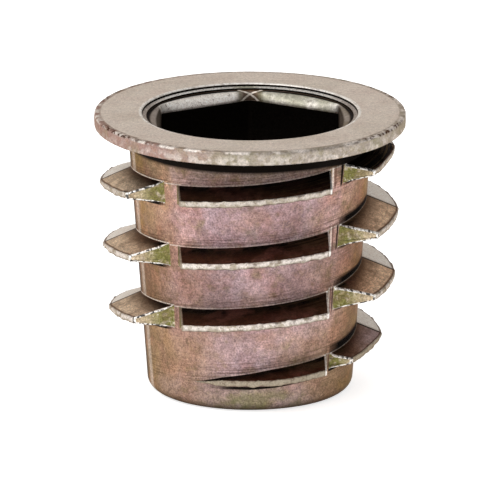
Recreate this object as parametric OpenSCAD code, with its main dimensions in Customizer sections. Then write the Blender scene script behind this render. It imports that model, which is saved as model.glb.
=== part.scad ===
// Die-cast threaded insert for wood: flange, hexagon drive, tapered barrel with a coarse
// outer thread that is broken at four corners, and a tapped bore. One solid.
// The origin is at the centre of the lower end face, and +Z runs up the axis to the flange.

/* [Whole insert] */
// Height from the lower end face to the top of the flange
overall_h = 16; // [13:0.5:30]

/* [Flange] */
// Diameter of the flange
flange_d = 17.6; // [17.2:0.1:24]
// Thickness of the flange
flange_t = 0.8; // [0.6:0.1:2]
// Radius on the flange's two outer edges
flange_edge_r = 0.16; // [0.05:0.01:0.25]

/* [Barrel] */
// Diameter of the barrel where it meets the flange
barrel_top_d = 13.8; // [13.2:0.1:15]
// Diameter to which the barrel tapers at the lower end
barrel_end_d = 11.5; // [11.4:0.1:13]
// Radius on the barrel's lower edge
end_edge_r = 0.7; // [0.3:0.1:1]
// Radius of the fillet between barrel and flange
neck_fillet_r = 0.25; // [0.1:0.05:0.5]

/* [Outer thread] */
// Rise of the thread in one turn
thread_pitch = 3.66; // [2.6:0.01:4.5]
// Height at which the middle of the crest starts
thread_start_z = 1.69; // [1.6:0.01:3]
// Height at which the thread runs out under the flange
thread_end_z = 15.1; // [11:0.1:15.2]
// Diameter over the crests, measured at the flange
crest_top_d = 17.1; // [16:0.1:18]
// Diameter over the crests, measured at the lower end
crest_end_d = 15.6; // [14.5:0.1:16.5]
// Width of the flat land on the crest
crest_land = 0.32; // [0.2:0.02:0.6]
// Slope of the upper flank, down from barrel to crest
upper_flank = 15; // [8:1:22]
// Slope of the upper flank at the mould's parting plane
parting_flank = 23; // [8:1:26]
// Slope of the lower flank, up from barrel to crest
lower_flank = 11; // [5:1:22]
// Direction in which the thread starts, seen from above, with 0 along +X
thread_start_dir = 245; // [0:5:355]
// Turn in which the crest rises out of the barrel at the lower end
run_in_turn = 36; // [20:2:120]
// Turn in which the crest fades away under the flange
fade_turn = 155; // [60:5:240]
// Amount by which the crests are turned down at the thread's start
lead_drop = 0.85; // [0:0.05:1.2]
// Height above the thread's start at which the crests reach their full diameter
lead_h = 3.6; // [1:0.1:6]
// Amount by which the crest stands out in a point at the parting plane
point_h = 0.12; // [0:0.01:0.25]
// Height by which the rear half of each ridge lies below the front half
parting_step = 0.06; // [0:0.01:0.2]

/* [Corner gaps in the thread] */
// Width left of the front and rear ridges, measured at the flange
front_ridge_w = 8.7; // [6:0.1:9.5]
// Width left of the side ridges, measured at the flange
side_ridge_w = 9; // [6:0.1:9.5]
// Draft of the ridges' end faces, which lean in towards the lower end
ridge_draft = 1.2; // [0:0.1:3]
// Turn of the ridges and the parting plane against the hexagon
ridge_turn = 2.5; // [-10:0.5:10]

/* [Hexagon drive] */
// Width of the hexagon across its flats
hex_af = 10; // [8.8:0.1:10.2]
// Depth of the hexagon below the flange's top
hex_depth = 5.2; // [3:0.1:8]
// Diameter of the mouth in the flange's top
mouth_d = 12.2; // [12.1:0.1:12.6]
// Radius on the mouth's edge
mouth_edge_r = 0.1; // [0.05:0.01:0.2]
// Depth of the shallow recess below the mouth
recess_depth = 0.18; // [0.1:0.02:0.4]
// Amount by which the recess is narrower than the mouth, on each side
recess_taper = 0.03; // [0:0.01:0.1]
// Height of the slope from the recess's floor to the throat
throat_slope_h = 0.04; // [0:0.01:0.1]
// Diameter of the round opening below the recess
throat_d = 11.66; // [11.6:0.02:12]
// Depth at which the lead-in to the hexagon starts
lead_in_start = 0.36; // [0.3:0.02:0.6]
// Depth at which the lead-in has become the hexagon
lead_in_end = 0.88; // [0.7:0.02:1.4]

/* [Tapped bore] */
// Diameter of the bore, which is the tapping size of its fine thread
bore_d = 8.5; // [8:0.1:8.7]
// Depth of the bore's chamfer at the lower end
bore_chamfer = 0.2; // [0.1:0.05:0.4]
// Angle of the cone from the hexagon down to the bore, against the axis
floor_angle = 60; // [45:5:75]

/* [Hidden] */
barrel_h = overall_h - flange_t;                  // the barrel's height below the flange
half_sections = 6;                                // steps from a ridge's end to its middle
middle_share = 0.015;                             // half share in which the parting step rises
root_sink = 0.2;                                  // how far a ridge reaches into the barrel
crest_sink = 0.12;                                // how far its faded ends lie below the barrel
land_growth = 0.35;                               // growth at which the crest's land is at full width
point_reach = 0.25;                               // how far round the crest's point reaches, as a cosine
point_narrow = 0.5;                               // share by which the point's land is narrower
least_land = 0.1;                                 // share of its width to which the land narrows
overlap = 1;                                      // how far cutters reach past what they cut
seam = 0.02;                                      // how far one cutter reaches into the next
round_steps = 90;                                 // steps round the body's outlines
bore_steps = 72;                                  // steps round the bore and the cone above it
hull_steps = 48;                                  // steps round the top of the lead-in
thread_turn = 360 * (thread_end_z - thread_start_z) / thread_pitch;
thread_end_dir = thread_start_dir + thread_turn;
front_dir = 270 + ridge_turn;                     // the way the front ridges face
hex_corner_r = hex_af / 2 / cos(30);
hex_floor_z = overall_h - hex_depth;
hex_cone_h = (hex_corner_r - bore_d / 2) / tan(floor_angle);

// Radius of the barrel and of the crest at a height
function barrel_r(z) = (barrel_end_d + (barrel_top_d - barrel_end_d) * z / barrel_h) / 2;
function full_crest_r(z) = (crest_end_d + (crest_top_d - crest_end_d) * z / barrel_h) / 2;
function crest_r(z) = full_crest_r(z) - lead_drop * max(0, 1 - (z - thread_start_z) / lead_h);

// Height of the middle of the crest in a direction that is counted on from turn to turn
function crest_z(dir) = thread_start_z + thread_pitch * (dir - thread_start_dir) / 360;

// Share of its full height that the ridge has in a direction
function grown(dir) =
    max(0, min(1, (dir - thread_start_dir) / run_in_turn, (thread_end_dir - dir) / fade_turn));

// Share of its height that the crest's point has in a direction: all of it at the parting plane
function pointed(dir) = max(0, 1 - abs(cos(dir - front_dir)) / point_reach) * grown(dir);

// Slope of the upper flank, which is steepest at the parting plane
function upper_slope(dir) = upper_flank + (parting_flank - upper_flank) * pow(sin(dir - front_dir), 6);

// Half the width of a ridge at a height, less at the lower end by the draft
function half_width(width, z) = width / 2 - (barrel_h - z) * tan(ridge_draft);

// Direction in which a radius meets a plane that lies beside the ridge's middle
function dir_at(mid_dir, beside, r) = mid_dir + asin(beside / r);

// One point of a ridge: its radius, its height, and how far it lies beside the ridge's middle
function ridge_point(mid_dir, width, share, r, z) =
    let (beside = share * half_width(width, z), dir = dir_at(mid_dir, beside, r))
    [r * cos(dir), r * sin(dir), z];

// Section of a ridge at a share of its width: root below, crest below, crest above, root above
function ridge_section(mid_dir, width, share) =
    let (
        beside = share * half_width(width, crest_z(mid_dir)),
        dir = dir_at(mid_dir, beside, crest_r(crest_z(mid_dir))),
        root_dir = dir_at(mid_dir, beside, barrel_r(crest_z(mid_dir))),
        lift = cos(dir - front_dir) < 0 ? -parting_step : 0,
        z = crest_z(dir) + lift,
        root_z = crest_z(root_dir) + lift,
        root = barrel_r(root_z) - root_sink,
        faded = barrel_r(z) - crest_sink,
        crest = faded + (crest_r(z) - faded) * grown(dir) + point_h * pointed(dir),
        depth = crest - root,
        widened = max(least_land, min(1, grown(dir) / land_growth)),
        half_land = crest_land / 2 * widened * (1 - point_narrow * pointed(dir))
    )
    [
        ridge_point(mid_dir, width, share, root, root_z - half_land - depth * tan(lower_flank)),
        ridge_point(mid_dir, width, share, crest, z - half_land),
        ridge_point(mid_dir, width, share, crest, z + half_land),
        ridge_point(mid_dir, width, share, root, root_z + half_land + depth * tan(upper_slope(root_dir)))
    ];

// Shares of the width at which a ridge has its sections, with a narrow pair at its middle
function section_shares() =
    [for (side = [-1, 1], i = [0 : half_sections])
        side < 0 ? -1 + (1 - middle_share) * i / half_sections
                 : middle_share + (1 - middle_share) * i / half_sections];

// One ridge: straight from section to section, with flat ends
module ridge(mid_dir, width) {
    shares = section_shares();
    points = [for (share = shares) each ridge_section(mid_dir, width, share)];
    last = 4 * (len(shares) - 1);
    sides = [
        for (s = [0 : len(shares) - 2], k = [0 : 3])
            let (a = 4 * s + k, b = 4 * s + (k + 1) % 4)
            each [[a, b, b + 4], [a, b + 4, a + 4]]
    ];
    ends = [[0, 2, 1], [0, 3, 2], [last, last + 1, last + 2], [last, last + 2, last + 3]];
    polyhedron(points, concat(sides, ends));
}

// The thread: a front, side, rear and side ridge in each turn, with the corners left out
module outer_thread() {
    first = ceil((thread_start_dir - front_dir - 45) / 90);
    last = floor((thread_end_dir - front_dir + 45) / 90);
    for (i = [first : last])
        ridge(front_dir + 90 * i, i % 2 == 0 ? front_ridge_w : side_ridge_w);
}

// Points of a quarter circle from one angle to another about a centre
function arc(centre, r, from, to, steps = 4) =
    [for (i = [0 : steps]) let (a = from + (to - from) * i / steps) centre + r * [cos(a), sin(a)]];

module flange_and_barrel() {
    end_r = barrel_r(end_edge_r);
    neck_r = barrel_r(barrel_h);
    flange_r = flange_d / 2;
    rotate_extrude($fn = round_steps)
        polygon(concat(
            [[0, 0]],
            arc([end_r - end_edge_r, end_edge_r], end_edge_r, -90, 0),
            arc([neck_r + neck_fillet_r, barrel_h - neck_fillet_r], neck_fillet_r, 180, 90),
            arc([flange_r - flange_edge_r, barrel_h + flange_edge_r], flange_edge_r, -90, 0),
            arc([flange_r - flange_edge_r, overall_h - flange_edge_r], flange_edge_r, 0, 90),
            [[0, overall_h]]
        ));
}

// Round mouth: a rounded edge, a shallow recess and the throat above the lead-in
module mouth_cut() {
    mouth_r = mouth_d / 2;
    throat_r = throat_d / 2;
    rotate_extrude($fn = round_steps)
        polygon(concat(
            [[0, overall_h + overlap], [0, overall_h - lead_in_start]],
            [[throat_r, overall_h - lead_in_start], [throat_r, overall_h - recess_depth - throat_slope_h]],
            [[mouth_r - recess_taper, overall_h - recess_depth]],
            arc([mouth_r + mouth_edge_r, overall_h - mouth_edge_r], mouth_edge_r, 180, 90),
            [[mouth_r + mouth_edge_r, overall_h + overlap]]
        ));
}

module hexagon_prism(depth_from, depth_to) {
    translate([0, 0, overall_h - depth_to])
        rotate([0, 0, 30])
            cylinder(h = depth_to - depth_from, r = hex_corner_r, $fn = 6);
}

module drive_cut() {
    hexagon_prism(lead_in_end - seam, hex_depth);
    hull() {
        hexagon_prism(lead_in_end - seam, lead_in_end);
        translate([0, 0, overall_h - lead_in_start])
            cylinder(h = seam, d = throat_d, $fn = hull_steps);
    }
    intersection() {
        hexagon_prism(hex_depth - seam, hex_depth + hex_cone_h);
        translate([0, 0, hex_floor_z - hex_cone_h])
            cylinder(h = hex_cone_h + seam, r1 = bore_d / 2, r2 = hex_corner_r, $fn = bore_steps);
    }
}

module bore_cut() {
    translate([0, 0, -overlap])
        cylinder(h = hex_floor_z + overlap, d = bore_d, $fn = bore_steps);
    translate([0, 0, -overlap])
        cylinder(
            h = bore_chamfer + overlap, r1 = bore_d / 2 + bore_chamfer + overlap, r2 = bore_d / 2,
            $fn = bore_steps
        );
}

module insert() {
    color("#b59f86")
        difference() {
            union() {
                flange_and_barrel();
                outer_thread();
            }
            mouth_cut();
            drive_cut();
            bore_cut();
        }
}

insert();
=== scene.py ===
import math
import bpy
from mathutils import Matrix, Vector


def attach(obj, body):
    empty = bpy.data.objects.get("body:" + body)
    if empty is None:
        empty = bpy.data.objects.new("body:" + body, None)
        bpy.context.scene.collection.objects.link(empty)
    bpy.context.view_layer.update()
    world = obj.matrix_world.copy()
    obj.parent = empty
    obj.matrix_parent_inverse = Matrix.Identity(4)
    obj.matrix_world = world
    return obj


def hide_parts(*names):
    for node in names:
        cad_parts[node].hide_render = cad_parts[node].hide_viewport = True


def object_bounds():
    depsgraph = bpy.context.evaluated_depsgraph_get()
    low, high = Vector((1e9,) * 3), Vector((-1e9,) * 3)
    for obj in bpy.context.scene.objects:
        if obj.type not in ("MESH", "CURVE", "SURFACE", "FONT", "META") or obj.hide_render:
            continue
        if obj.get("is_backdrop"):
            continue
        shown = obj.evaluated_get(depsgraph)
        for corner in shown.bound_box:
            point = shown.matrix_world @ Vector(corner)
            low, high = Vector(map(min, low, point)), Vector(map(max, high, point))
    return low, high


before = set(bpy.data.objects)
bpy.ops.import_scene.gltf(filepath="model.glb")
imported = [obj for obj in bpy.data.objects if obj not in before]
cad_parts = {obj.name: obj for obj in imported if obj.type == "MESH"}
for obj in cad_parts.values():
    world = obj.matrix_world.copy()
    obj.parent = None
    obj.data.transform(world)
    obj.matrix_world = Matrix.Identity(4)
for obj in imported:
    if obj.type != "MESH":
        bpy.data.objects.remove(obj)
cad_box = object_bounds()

from types import SimpleNamespace

import bmesh
import bpy
from bpy.props import FloatProperty, FloatVectorProperty, PointerProperty
from mathutils import Vector, noise

bl_info = {
    "name": "Threaded insert",
    "version": (1, 0, 0),
    "blender": (4, 5, 0),
    "location": "3D View > Sidebar > Insert",
    "description": "Builds a die-cast threaded insert for wood, its finish and its studio",
    "category": "Object",
}

MM = 0.001
TURN = 2 * math.pi
NODE = "insert"
PIECE = "insert_casting"


def linear(hex_colour):
    """Linear colour of an sRGB hex value."""
    parts = [int(hex_colour[i:i + 2], 16) / 255 for i in (1, 3, 5)]
    return [p / 12.92 if p <= 0.04045 else ((p + 0.055) / 1.055) ** 2.4 for p in parts] + [1]


def placed(scene, name, data):
    """Adds an object with its data to the scene."""
    thing = bpy.data.objects.new(name, data)
    scene.collection.objects.link(thing)
    return thing


# ---------------------------------------------------------------- sizes and colours

def length(name, description, mm):
    return FloatProperty(name=name, description=description, unit="LENGTH", default=mm * MM)


def angle(name, description, degrees):
    return FloatProperty(
        name=name, description=description, unit="ROTATION", default=math.radians(degrees))


def colour(name, description, hex_colour):
    return FloatVectorProperty(
        name=name, description=description, subtype="COLOR", size=4, min=0, max=1,
        default=linear(hex_colour))


class InsertSizes(bpy.types.PropertyGroup):
    """Sizes of the casting."""

    overall_h: length("Height", "From the lower end face to the top of the flange", 16)
    flange_d: length("Flange diameter", "Diameter of the flange", 17.6)
    flange_t: length("Flange thickness", "Thickness of the flange", 0.8)
    flange_edge_r: length("Flange edge radius", "Radius on the flange's outer edges", 0.16)
    barrel_top_d: length("Barrel top", "Diameter of the barrel where it meets the flange", 13.8)
    barrel_end_d: length("Barrel end", "Diameter to which the barrel tapers at the lower end", 11.5)
    end_edge_r: length("End edge radius", "Radius on the barrel's lower edge", 0.7)
    neck_fillet_r: length("Neck fillet", "Radius of the fillet between barrel and flange", 0.25)
    thread_pitch: length("Outer pitch", "Rise of the outer thread in one turn", 3.66)
    thread_start_z: length("Thread start", "Height at which the middle of the crest starts", 1.69)
    thread_end_z: length("Thread end", "Height at which the thread runs out under the flange", 15.1)
    crest_top_d: length("Crest top", "Diameter over the crests, measured at the flange", 17.1)
    crest_end_d: length("Crest end", "Diameter over the crests, measured at the lower end", 15.6)
    crest_land: length("Crest land", "Width of the flat land on the crest", 0.32)
    upper_flank: angle("Upper flank", "Slope of the upper flank, down from barrel to crest", 15)
    parting_flank: angle("Parting flank", "Slope of the upper flank at the parting plane", 23)
    lower_flank: angle("Lower flank", "Slope of the lower flank, up from barrel to crest", 11)
    thread_start_dir: angle("Thread start direction", "Direction in which the thread starts", 245)
    run_in_turn: angle("Run-in", "Turn in which the crest rises out of the barrel at the lower end", 36)
    fade_turn: angle("Fade", "Turn in which the crest fades away under the flange", 155)
    lead_drop: length("Lead drop", "Amount that the crests are turned down at the thread's start", 0.85)
    lead_h: length("Lead height", "Height above the thread's start at which the crests are full", 3.6)
    point_h: length("Point", "Amount that the crest stands out in a point at the parting plane", 0.12)
    shortfall: length("Shortfall", "Amount that the first and last right ridge lack in front", 0.28)
    parting_step: length("Parting step", "Depth of a ridge's rear half below its front half", 0.06)
    front_ridge_w: length("Front ridge width", "Width of front and rear ridges at the flange", 8.7)
    side_ridge_w: length("Side ridge width", "Width of the side ridges at the flange", 9)
    ridge_draft: angle("Ridge draft", "Draft of the ridges' end faces", 1.2)
    ridge_turn: angle("Ridge turn", "Turn of the ridges and the parting plane against the hexagon", 2.5)
    hex_af: length("Hexagon", "Width of the hexagon across its flats", 10)
    hex_corner_fillet: length("Hexagon corner", "Radius in the corners of the hexagon", 0.3)
    hex_depth: length("Hexagon depth", "Depth of the hexagon below the flange's top", 5.2)
    mouth_d: length("Mouth", "Diameter of the mouth in the flange's top", 12.2)
    mouth_edge_r: length("Mouth edge radius", "Radius on the mouth's edge", 0.1)
    recess_depth: length("Recess depth", "Depth of the shallow recess below the mouth", 0.18)
    throat_d: length("Throat", "Diameter of the round opening below the recess", 11.66)
    lead_in_start: length("Lead-in start", "Depth at which the lead-in to the hexagon starts", 0.36)
    lead_in_end: length("Lead-in end", "Depth at which the lead-in has become the hexagon", 0.88)
    floor_angle: angle("Floor angle", "Angle of the hexagon's floor against the axis", 60)
    bore_d: length("Bore", "Diameter of the bore at the crests of its fine thread", 8.5)
    bore_chamfer: length("Bore chamfer", "Depth of the bore's chamfer at the lower end", 0.2)
    bore_thread_d: length("Inner thread", "Diameter at the roots of the fine thread in the bore", 10)
    bore_pitch: length("Inner pitch", "Pitch of the fine thread in the bore", 1.5)


class InsertColours(bpy.types.PropertyGroup):
    """Colours of the plating."""

    # Mauve, peach, ochre and umber follow each other round the barrel: the film's tint, shifted by
    # direction as a painted stand-in for its iridescence
    mauve: colour("Mauve", "Plating on the front and rear of the barrel", "#bea0a1")
    sand: colour("Sand", "Paler patches in the mauve", "#bd9a82")
    peach: colour("Peach", "Plating on either side of the mauve", "#c9a69f")
    ochre: colour("Ochre", "Plating towards the sides of the barrel", "#b79570")
    # Umber is also painted shade, at the barrel's sides and on the front ridges' left end edges
    umber: colour("Umber", "Plating next to the parting plane", "#7f6b51")
    rose: colour("Rose", "Redder patches in the mauve", "#9d6763")
    lilac: colour("Lilac", "Bluish sheen in the mauve", "#b3a0aa")
    salmon: colour("Salmon", "Warm, bright patches towards the sides", "#dca588")
    gold: colour("Gold", "Yellower patches towards the sides", "#b08c58")
    olive: colour("Olive", "Greener patches in the plating", "#7f8056")
    moss: colour("Moss", "Thick film below the flange", "#62573a")
    green: colour("Green", "Thicker plating on the ridges' flat end faces", "#7e7947")
    # Tan also paints the pale highlight beside the barrel's left outline
    tan: colour("Tan", "Plating on the flange's top", "#ebdfd3")
    # Pearl is also painted highlight: on the mouth's edge, the end faces' edges, the lead-in and the
    # parting step's rear side
    pearl: colour("Pearl", "Polished edges and the parting line's rear side", "#fff8f0")
    # Cream is also painted highlight: on the parting step's edge, the rim's knobs and the rim's upper edge
    cream: colour("Cream", "Bare, rubbed crests and edges", "#e4dad1")
    # Worn also paints shade along the crests' lower edges
    worn: colour("Worn", "Crests that keep some of their plating", "#9b8f7b")
    grey: colour("Grey", "Rubbed rim of the flange", "#afa397")
    buff: colour("Buff", "Upper flanks of the left side ridges", "#e6cdb2")
    bronze: colour("Bronze", "Upper flanks of the right side ridges", "#f2cfb0")
    # Brown is also painted shade: by the side ridges' roots and right ends, under the crests and along the
    # lead-in's lower edge
    brown: colour("Brown", "Upper flanks of the front ridges", "#4f3124")
    # Black is mostly painted shade: under the flange, on the mouth's walls, in the socket and the bore,
    # along roots, foot, left outline and parting step
    black: colour("Black", "Creases, pits and the socket", "#0c0806")


def plain(group):
    """Values of a property group as a plain object, which loops read much faster."""
    return SimpleNamespace(**{name: getattr(group, name) for name in group.__annotations__})


# ---------------------------------------------------------------- sections of the casting

# Layers on the vertices, which the finish reads. These mark a zone of the surface:
ZONE_MASKS = ("crest", "flank", "end_face", "edge", "top", "rim", "brow", "lip", "wall", "ledge",
              "bar", "socket", "crease")
# These measure where a vertex lies. Way and rise run along and across the thread, place runs along
# its section, and apart is how far that is from the crest's middle. Gap is the share of a corner gap,
# grown the share of a ridge's full height, and deep the depth below the crest. Side is how far round
# to either side, sway the same with its sign, and facing the distance in front of the parting plane.
# Low is the depth in the lead-in, and corner the nearness to a corner of the hexagon.
MEASURE_MASKS = ("way", "rise", "place", "apart", "gap", "grown", "deep", "side", "sway", "facing",
                 "low", "corner")
MASKS = ZONE_MASKS + MEASURE_MASKS

# Places along the thread's section: its corners are 1 to 4 from below, and 5 is the next pitch
CREST_MIDDLE, UPPER_ROOT, SEAM_PLACE = 2.5, 4, 5
CREST_REACH = 0.62          # places from the crest's middle to the end of its rounded edges
# Places along the outline of flange and socket: from 0 under the flange round its rim to the mouth
# at 3, the recess at 4, the throat's edge at 5, and then those named here
LEAD_IN, HEXAGON, FLOOR, BORE = 6, 7, 8, 9
RIM_START, RIM_END = 0.9, 2.1
ZONES = (
    ("crease", 0, RIM_START), ("rim", RIM_START, 2.12), ("brow", 1.93, 2.12), ("top", 2.12, 3.08),
    ("lip", 2.87, 3.06), ("wall", 3.08, 3.97), ("ledge", 3.97, 4.93), ("wall", 4.93, 5.9),
    ("bar", 5.9, HEXAGON), ("socket", HEXAGON, BORE + 1))

RING_STEPS = 480            # steps round the flange and the hexagon
BORE_STEPS = 72             # steps round the bore's thread
ARC_STEPS = 4               # steps round a fillet or a rounded edge
COLUMNS_ON_HALF = 34        # steps from a ridge's end to its middle
COLUMNS_IN_GAP = 4          # steps across a corner gap
GAP_STARTS = 0.98           # share of a corner gap at which its first step lies
REACH = math.radians(43.5)  # turn from a ridge's middle to its end, at the most
SHORT_TURN = TURN / 18      # turn in which the shortfall reaches its full amount
SHORT_REACH = TURN / 8      # turn before the parting plane over which a crest falls short
ARC_SPAN = 0.1              # half the places that a rounded corner takes
MIDDLE_SHARE = 0.01         # share of half the width in which the parting step rises
CORNER_REACH = 0.15         # turn from a hexagon's corner over which its mask fades
ROOT_FILLET = 0.05 * MM     # radius in the root of a ridge
CREST_EDGE = 0.07 * MM      # radius on the crest's edges
END_ROUND = 0.05 * MM       # rounding of the ridges' end faces
SEAM = 0.1 * MM             # width of the flat rings that close the seams between the parts
WELD = 0.00005 * MM         # distance at which vertices are one
CUT_SNAP = 0.0001 * MM      # distance at which a vertex lies in the plane of a cut
LEVEL_SNAP = 0.001 * MM     # distance at which a vertex lies at a height
BARREL_SHARES = (0.04, 0.2, 0.4, 0.7)
FLANK_SHARES = (0.03, 0.25, 0.5, 0.75, 0.97)
LAND_SHARES = (0.33, 0.67)


def polar(radius, direction, z):
    return radius * math.cos(direction), radius * math.sin(direction), z


def mark(vert, masks, **marks):
    """Sets masks of a vertex."""
    for name, value in marks.items():
        vert[masks[name]] = value


def rounded(corners, radii, shares):
    """Outline through rounded corners: its points and how many corners each is along the way.

    Each stretch between two corners also gets a point at each of its shares."""
    longest = 0.45
    ways = [step / ARC_STEPS for step in range(ARC_STEPS + 1)]
    arcs = [([corners[0]], [0])]
    for i in range(1, len(corners) - 1):
        corner = corners[i]
        back, ahead = corners[i - 1] - corner, corners[i + 1] - corner
        reach = radii[i] / math.tan(back.angle(ahead) / 2)
        start = corner + back.normalized() * min(reach, longest * back.length)
        end = corner + ahead.normalized() * min(reach, longest * ahead.length)
        points = [start.lerp(corner, way).lerp(corner.lerp(end, way), way) for way in ways]
        arcs.append((points, [i + ARC_SPAN * (2 * way - 1) for way in ways]))
    arcs.append(([corners[-1]], [len(corners) - 1]))
    points, places = [], []
    for (arc, arc_places), (following, following_places), between in zip(arcs, arcs[1:], shares):
        points += arc + [arc[-1].lerp(following[0], share) for share in between]
        stretch = following_places[0] - arc_places[-1]
        places += arc_places + [arc_places[-1] + stretch * share for share in between]
    return points + arcs[-1][0], places + arcs[-1][1]


def barrel_h(sizes):
    return sizes.overall_h - sizes.flange_t


def barrel_radius(sizes, z):
    return (sizes.barrel_end_d + (sizes.barrel_top_d - sizes.barrel_end_d) * z / barrel_h(sizes)) / 2


def crest_radius(sizes, z):
    full = (sizes.crest_end_d + (sizes.crest_top_d - sizes.crest_end_d) * z / barrel_h(sizes)) / 2
    return full - sizes.lead_drop * max(0, 1 - (z - sizes.thread_start_z) / sizes.lead_h)


def crest_height(sizes, direction):
    return sizes.thread_start_z + sizes.thread_pitch * (direction - sizes.thread_start_dir) / TURN


def front_direction(sizes):
    return math.radians(270) + sizes.ridge_turn


def ridge_growth(sizes, direction):
    """Share of its full height that the ridge has in a direction."""
    rise = sizes.thread_end_z - sizes.thread_start_z
    end_dir = sizes.thread_start_dir + TURN * rise / sizes.thread_pitch
    run_in = (direction - sizes.thread_start_dir) / sizes.run_in_turn
    return max(0, min(1, run_in, (end_dir - direction) / sizes.fade_turn))


def shortfall(sizes, direction):
    """How far the first and last right-hand ridge fall short in front of the parting plane."""
    for turns in (0, 3):
        before = front_direction(sizes) + TURN / 4 + TURN * turns - direction
        if 0 < before < SHORT_REACH:
            return sizes.shortfall * min(1, before / SHORT_TURN)
    return 0


def half_width(sizes, width, z):
    return width / 2 - (barrel_h(sizes) - z) * math.tan(sizes.ridge_draft)


def ragged(way, grain, lane):
    """Uneven value from about -1 to 1 along a way, the same at each run."""
    finer, finer_share, finer_layer = 2.3, 0.6, 7
    coarse = noise.noise((way / grain, lane, 0))
    return coarse + finer_share * noise.noise((finer * way / grain, lane, finer_layer))


def ridge_section(sizes, direction, even=False):
    """Section of one pitch: how far each row stands out of the barrel, its height, and its place.

    The crest is ragged, unless an even section is asked for."""
    least_growth, land_growth, step_growth = 0.04, 0.35, 0.3
    point_reach, point_narrow, parting_power = 0.25, 0.5, 6
    ragged_grain, ragged_land, ragged_crest = 0.6 * MM, 0.09 * MM, 0.04 * MM
    growth = ridge_growth(sizes, direction)
    z = crest_height(sizes, direction)
    way = direction * sizes.crest_top_d / 2
    full = crest_radius(sizes, z) - barrel_radius(sizes, z)
    facing = math.cos(direction - front_direction(sizes))
    pointed = max(0, 1 - abs(facing) / point_reach) * growth
    out = full * max(growth, least_growth) + sizes.point_h * pointed - shortfall(sizes, direction)
    steep = math.sin(direction - front_direction(sizes)) ** parting_power
    upper = sizes.upper_flank + (sizes.parting_flank - sizes.upper_flank) * steep
    widened = min(1, max(growth, least_growth) / land_growth)
    half_land = sizes.crest_land / 2 * widened * (1 - point_narrow * pointed)
    half_pitch = sizes.thread_pitch / 2
    corners = [
        Vector((0, -half_pitch)),
        Vector((0, -half_land - out * math.tan(sizes.lower_flank))),
        Vector((out, -half_land)),
        Vector((out, half_land)),
        Vector((0, half_land + out * math.tan(upper))),
        Vector((0, half_pitch)),
    ]
    fillet, edge = min(ROOT_FILLET, out / 3), min(CREST_EDGE, out / 4, half_land * 0.8)
    below_shares = [1 - share for share in reversed(BARREL_SHARES)]
    points, places = rounded(
        corners, (0, fillet, edge, edge, fillet, 0),
        (below_shares, FLANK_SHARES, LAND_SHARES, FLANK_SHARES, BARREL_SHARES))
    lift = -sizes.parting_step * min(1, growth / step_growth) if facing < 0 else 0
    shown = min(1, growth / least_growth)
    worn = 0 if even else min(1, growth / land_growth)
    section = []
    for point, place in zip(points, places):
        near = min(1, 2 - 2 * abs(point.y) / half_pitch)
        beside, above = point.x, point.y + lift * near
        if abs(place - CREST_MIDDLE) < CREST_REACH:
            lane = 2 if place > CREST_MIDDLE else 3
            beside -= ragged_crest * worn * (0.5 + 0.5 * ragged(way, ragged_grain, 1))
            unevenness = ragged_land * worn * (1 - point_narrow * pointed)
            above += unevenness * ragged(way, ragged_grain, lane)
        section.append((beside * shown, above, place))
    return section, full, growth


def shrunk(section, inset):
    """A section moved inwards by an inset, apart from the rows on the barrel."""
    result = []
    for i, (out, rise, place) in enumerate(section):
        before, after = section[max(i - 1, 0)], section[min(i + 1, len(section) - 1)]
        along = Vector((after[0] - before[0], after[1] - before[1]))
        share = min(1, out / (3 * inset))
        inward = Vector((-along.y, along.x)).normalized() * inset * share
        result.append((max(0, out + inward.x), rise + inward.y, place))
    return result


def ridge_columns():
    """Columns of one ridge and the gap before it: share of half its width, inset, level, gap."""
    shares = [MIDDLE_SHARE + (1 - MIDDLE_SHARE) * i / COLUMNS_ON_HALF for i in range(COLUMNS_ON_HALF)]
    columns = [(-1, -END_ROUND, "flat", GAP_STARTS)]
    columns += [(-1, -END_ROUND, "flat", 1 - i / COLUMNS_IN_GAP) for i in range(1, COLUMNS_IN_GAP)]
    columns.append((-1, -END_ROUND, "flat", 0))
    columns += [(-1, 0, level, 0) for level in ("flat", "face", "shoulder")]
    columns.append((-1, END_ROUND, "full", 0))
    columns += [(-share, 0, "full", 0) for share in reversed(shares)]
    columns += [(share, 0, "full", 0) for share in shares]
    columns.append((1, -END_ROUND, "full", 0))
    columns += [(1, 0, level, 0) for level in ("shoulder", "face", "flat")]
    columns.append((1, END_ROUND, "flat", 0))
    return columns


# ---------------------------------------------------------------- the casting's mesh

def polyline(bm, points):
    """Adds a line of edges through points, with each vertex's row, and gives its geometry."""
    verts = [bm.verts.new(point) for point in points]
    for row, vert in enumerate(verts):
        vert[bm.verts.layers.int["row"]] = row
    return verts + [bm.edges.new(pair) for pair in zip(verts, verts[1:])]


def grid(bm, columns, rows):
    """Adds a grid and gives each of its vertices with its column and row."""
    verts = bmesh.ops.create_grid(bm, x_segments=columns - 1, y_segments=rows - 1, size=1)["verts"]
    return [(vert, round((vert.co.x + 1) / 2 * (columns - 1)), round((vert.co.y + 1) / 2 * (rows - 1)))
            for vert in verts]


def turn_to(edge, share, inset, radius):
    """Turn from a ridge's middle to a plane beside it, drawn in where two ridges would meet."""
    drawn_in = min(1, REACH / math.asin(edge / radius))
    return math.asin((share * edge + inset) / radius) * drawn_in


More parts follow.
